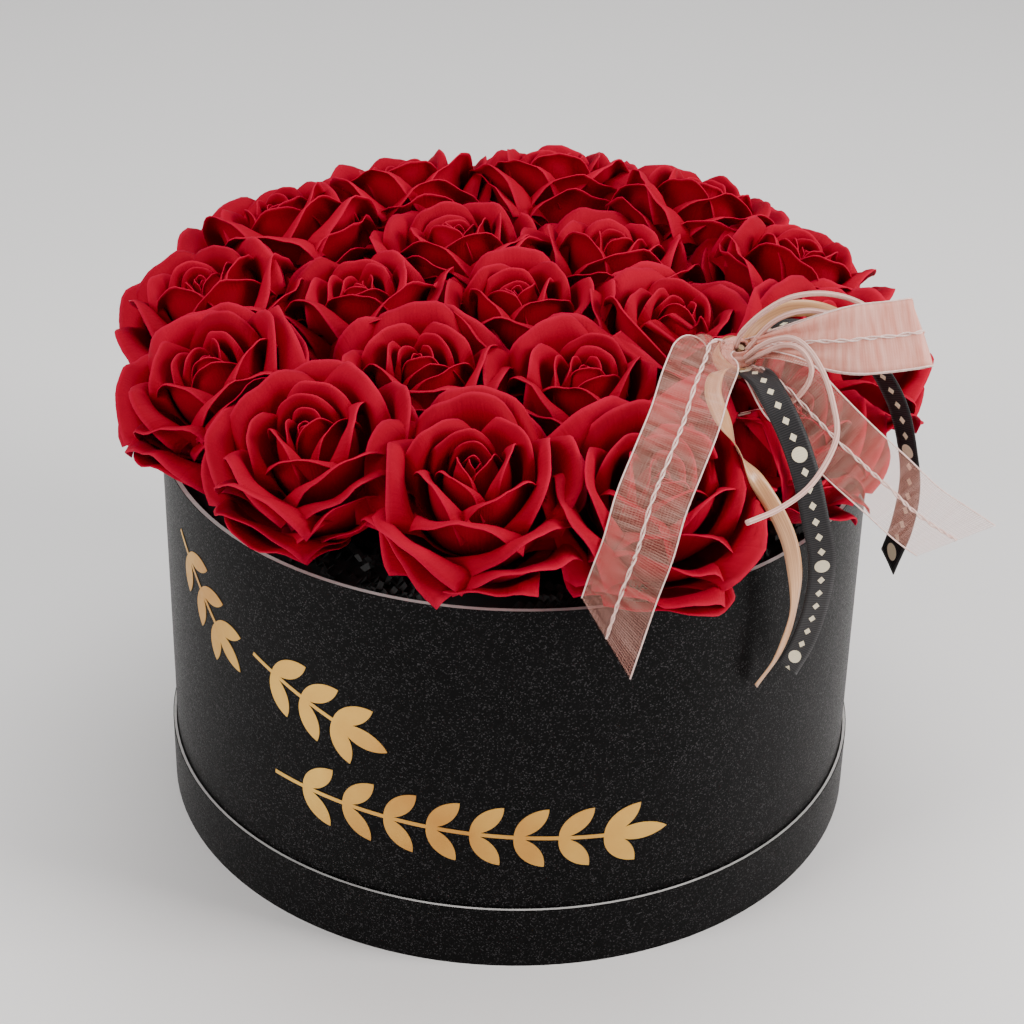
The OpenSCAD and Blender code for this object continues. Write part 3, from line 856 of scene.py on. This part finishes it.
def petal_grid(ring, turn, free, rng):
    """One petal as a grid of points in millimetres about the rose's axis, and how near each is to the rim,
    where the petal material paints a highlight. free is 1 where nothing stands beside it, so that it can
    open out and hang."""
    openness = (ring.radius / CROWDED_R) ** 2
    radius = ring.radius * rng.uniform(0.94, 1.06) + 1.5 * free * openness
    height = ring.height * rng.uniform(0.96, 1.03) - 3.5 * free * openness
    pressed = max(radius - CROWDED_R - rng.uniform(0.0, 3.0), 0.0) * (1.0 - free)
    radius, height = radius - pressed, height + 1.2 * pressed
    roll = math.radians(ring.roll * rng.uniform(0.6, 1.1))
    lip = ring.lip * rng.uniform(0.85, 1.15)
    u = np.linspace(-1.0, 1.0, PETAL_COLS)[None, :]
    v = np.linspace(0.0, 1.0, PETAL_ROWS)[:, None]
    side = np.abs(u)
    # The outline: broad, with rounded shoulders.
    reach = 1.0 - 0.30 * side ** 3.0 + 0.015 * np.clip(1.0 - 2.0 * side, 0.0, 1.0)
    # The profile: out from the foot, up the cup to the start of the lip.
    t = np.clip(v / BODY_SHARE, 0.0, 1.0) * reach
    foot_z, belly = ring.foot_z, ring.belly
    out, out_slope = bezier(t, FOOT_R, FOOT_R + 0.60 * (radius - FOOT_R) + belly,
                            FOOT_R + 0.86 * (radius - FOOT_R) + 1.6 * belly, radius)
    up, up_slope = bezier(t, foot_z, foot_z + 0.04 * (height - foot_z),
                          foot_z + 0.55 * (height - foot_z), height)
    # The lip: an arc that turns outwards, more so towards the sides.
    left, right = rng.uniform(0.5, 1.2, 2)
    bend = roll * (0.62 + 0.36 * np.where(u < 0, left, right) * side ** 1.2)
    w = np.clip((v - BODY_SHARE) / (1.0 - BODY_SHARE), 0.0, 1.0)
    heading = np.arctan2(out_slope, up_slope)
    out = out + lip * (np.cos(heading) - np.cos(heading + bend * w)) / bend
    up = up + lip * (np.sin(heading + bend * w) - np.sin(heading)) / bend
    # The rims wander, and the sides curl away from the axis.
    phase = rng.uniform(0.0, 2.0 * math.pi, 3)
    near_rim = smooth((v - 0.45) / 0.55)
    wander = np.sin(3.3 * u + phase[0])
    curl = 0.9 * side ** 4 * smooth(v / 0.6)
    ruffle = 0.8 * np.sin(5.1 * u + phase[1]) + 0.35 * np.sin(11.0 * u + phase[2])
    out = out + ring.wave * near_rim * wander + ring.wave * curl
    up = up + ring.wave * near_rim * ruffle
    out = out * (1.0 + ring.spiral * u * smooth(v * 1.5))
    x, y = round_axis(out, u, v, radius, ring.half_width)
    cos, sin = math.cos(turn), math.sin(turn)
    grid = np.stack([x * cos - y * sin, x * sin + y * cos, up], -1)
    # How near each point is to the rim: the mask for the painted rim highlight.
    rim = np.maximum(v ** 9 * np.ones_like(u), side ** 14 * smooth(v / 0.5))
    return grid, rim


def rose_mesh(name, rng, size, stand, outward):
    """A whole rose head about the z axis, from the calyx at z = 0. outward is the free side, if any."""
    parts = Parts()
    across, along = np.meshgrid(np.linspace(0, 1, PETAL_COLS), np.linspace(0, 1, PETAL_ROWS))
    turn = rng.uniform(0.0, 2.0 * math.pi)
    for number, ring in enumerate(RINGS):
        for k in range(ring.count):
            turn += 2.0 * math.pi / ring.count if k else GOLDEN_TURN
            swing = turn + rng.uniform(-0.15, 0.15)
            way = stand @ np.array([math.cos(swing), math.sin(swing), 0.0])
            free = float(smooth((way @ outward - 0.15) / 0.6))
            grid, rim = petal_grid(ring, swing, free, rng)
            points, faces = shell(grid * size * MM, PETAL_THICKNESS * MM)
            shade = np.full_like(rim, rng.uniform(0.2, 1.0))
            ring_share = np.full_like(rim, number / (len(RINGS) - 1))
            # Red is the rim mask for the painted highlight, green the ring, blue a random tone for the
            # petal.
            colour = np.stack([rim, ring_share, shade, np.ones_like(rim)], -1).reshape(-1, 4)
            uv = np.stack([across + k, along + number], -1).reshape(-1, 2)
            parts.add(points, faces, np.tile(colour, (2, 1)), np.tile(uv, (2, 1)))
    return parts.build(name)


def press_under(rose, ribbons):
    """Petals that a ribbon lies on are pressed down until they are just under it."""
    points = np.empty(len(rose.data.vertices) * 3)
    rose.data.vertices.foreach_get("co", points)
    points = points.reshape(-1, 3)
    for path, sides, faces, width in ribbons:
        # A few points of the path are enough for a first look at what is near it.
        distance = np.linalg.norm(points[:, None] - path[None, ::4], axis=2).min(axis=1)
        near = np.flatnonzero(distance < width + PRESS_SEARCH)
        if len(near) == 0:
            continue
        nearest = np.linalg.norm(points[near, None] - path[None], axis=2).argmin(axis=1)
        offset = points[near] - path[nearest]
        above = (offset * faces[nearest]).sum(axis=1) + PRESS_GAP
        beside = np.abs((offset * sides[nearest]).sum(axis=1)) - width / 2
        strength = (1.0 - smooth(beside / PRESS_EASE)) * (above > 0.0) * (above < PRESS_REACH)
        points[near] -= faces[nearest] * (above * strength)[:, None]
    rose.data.vertices.foreach_set("co", points.ravel())
    rose.data.update()


def add_roses(material, ribbons):
    """Each rose stands on its CAD head's axis, and leans out as far as its place in the rings asks."""
    for i, node in enumerate(ROSES):
        rng = np.random.default_rng(SEED + 31 * i)
        middle = size_of(node)[2]
        from_axis = math.hypot(middle[0], middle[1])
        radial = np.array([middle[0], middle[1], 0.0]) / max(from_axis, 1e-6)
        size = rng.uniform(1.0, 1.06)
        lift, lean, outward = 0.0, 0.0, np.zeros(3)
        if from_axis > 1.5 * PITCH:
            lift, lean, outward = OUTER_LIFT + BACK_LIFT * max(radial[1], 0.0), OUTER_LEAN, radial
        elif from_axis > 0.5 * PITCH:
            lean = INNER_LEAN
        if node == BIG_ROSE:
            size, lift, lean = BIG_SIZE, BIG_LIFT, lean + BIG_LEAN
        lay = rotation((0, 0, 1), math.atan2(middle[1], middle[0])) @ rotation((0, 1, 0), lean)
        stand = lay @ rotation((0, 0, 1), rng.uniform(0.0, 2.0 * math.pi))
        rose = rose_mesh(node.replace("rose", "rose_petals"), rng, size, stand, outward)
        base = middle - lay @ UP * HEAD_H / 2 + UP * lift * MM
        rose.data.transform(Matrix.Translation(Vector(base)) @ Matrix(stand).to_4x4())
        press_under(rose, ribbons)
        rose.data.materials.append(material)
        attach(rose, "box")
        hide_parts(node)


# ---------------------------------------------------------------------------------------------
# Paper shred
# ---------------------------------------------------------------------------------------------

SHRED_COUNT = 520
SHRED_W, SHRED_T = 2.6 * MM, 0.2 * MM
SHRED_STEP = 2.2 * MM
CRINKLE = 1.1 * MM
# How far inside the wall a strip starts, and how far inside it the strip is kept.
SHRED_START_GAP, SHRED_GAP = 6 * MM, 3 * MM


def crinkle_strip(rng):
    """One crinkle-cut strip as a grid of points, kept inside the wall."""
    steps = int(rng.integers(12, 22))
    near_wall = rng.random() < 0.7
    share = rng.uniform(0.82, 1.0) if near_wall else math.sqrt(rng.random())
    reach = (SHRED_R - SHRED_START_GAP) * share
    turn, heading = rng.uniform(0.0, 2.0 * math.pi, 2)
    rise = rng.uniform(0.15, 0.5) if rng.random() < 0.15 else rng.uniform(-0.12, 0.12)
    height = SHRED_TOP + rng.uniform(-3.0, 5.0) * MM
    start = np.array([reach * math.cos(turn), reach * math.sin(turn), height])
    headings = heading + np.cumsum(rng.uniform(-0.25, 0.25, steps))
    moves = np.stack([np.cos(headings), np.sin(headings), np.full(steps, rise)], -1) * SHRED_STEP
    path = start + np.cumsum(moves, axis=0)
    tip = np.full(steps, rng.uniform(-0.8, 0.8))
    across = unit(np.stack([-np.sin(headings), np.cos(headings), tip], -1))
    up = unit(np.cross(moves, across))
    path = path + up * (CRINKLE * np.where(np.arange(steps) % 2, 1.0, -1.0))[:, None]
    out = np.linalg.norm(path[:, :2], axis=1)
    path[:, :2] *= np.minimum(1.0, (SHRED_R - SHRED_GAP) / np.maximum(out, 1e-6))[:, None]
    return path[:, None] + across[:, None] * (np.array([-0.5, 0.5]) * SHRED_W)[None, :, None]


def add_shred(material):
    """Loose crinkle-cut strips over the CAD's plain pad of shred."""
    rng = np.random.default_rng(SEED + 700)
    parts = Parts()
    for k in range(SHRED_COUNT):
        grid = crinkle_strip(rng)
        points, faces = shell(grid, SHRED_T)
        tint = np.tile((rng.random(), 0.0, 0.0, 1.0), (len(points), 1))
        uv = np.stack(np.meshgrid([0.0, 1.0], np.arange(len(grid)) + k), -1).reshape(-1, 2)
        parts.add(points, faces, tint, np.tile(uv, (2, 1)))
    shred = parts.build("shred.strips")
    shred.data.polygons.foreach_set("use_smooth", np.zeros(len(shred.data.polygons), bool))
    shred.data.materials.append(material)
    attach(shred, "box")


# ---------------------------------------------------------------------------------------------
# Make it
# ---------------------------------------------------------------------------------------------

BOARD_DARK, BOARD_LIGHT = (0.42, 0.41, 0.40, 1.0), (0.62, 0.61, 0.59, 1.0)


def dress_cad(shred_paper):
    """Puts a material on each CAD node that stays in sight as it is."""
    finishes = {
        "wrap_paper": wrap_material(),
        "greyboard": paper_material("greyboard", BOARD_DARK, BOARD_LIGHT, 0.9, 500.0),
        "lining_paper": paper_material("lining", 0.01, 0.03, 0.8, 500.0),
        "gold_foil": foil_material(),
        "floral_foam": foam_material(),
        "shred_paper": shred_paper,
        "stem_green": green_material("stem", (0.05, 0.14, 0.03, 1.0), (0.1, 0.24, 0.06, 1.0)),
        "calyx_green": green_material("calyx", (0.06, 0.17, 0.04, 1.0), (0.13, 0.3, 0.08, 1.0)),
        "pick_wood": wood_material(),
        "wire": wire_material(),
    }
    for subpart in frame["record"]["subparts"]:
        node = frame["nodes"][subpart["node"]]
        if subpart["material_slot"] in finishes:
            node.data.materials.clear()
            node.data.materials.append(finishes[subpart["material_slot"]])


add_camera()
add_lights()
add_floor()
bow_looks = {
    "organza": organza_material(),
    "thread": thread_material(),
    "grosgrain": grosgrain_material(),
    "satin": satin_material(),
}
pressing = add_ribbons(bow_looks)
pressing += add_cords(cord_material())
add_knot(bow_looks["organza"], bow_looks["satin"])
add_roses(petal_material(), pressing)
shred_paper = paper_material("shred_black", 0.006, 0.02, 0.75, 900.0)
add_shred(shred_paper)
dress_cad(shred_paper)
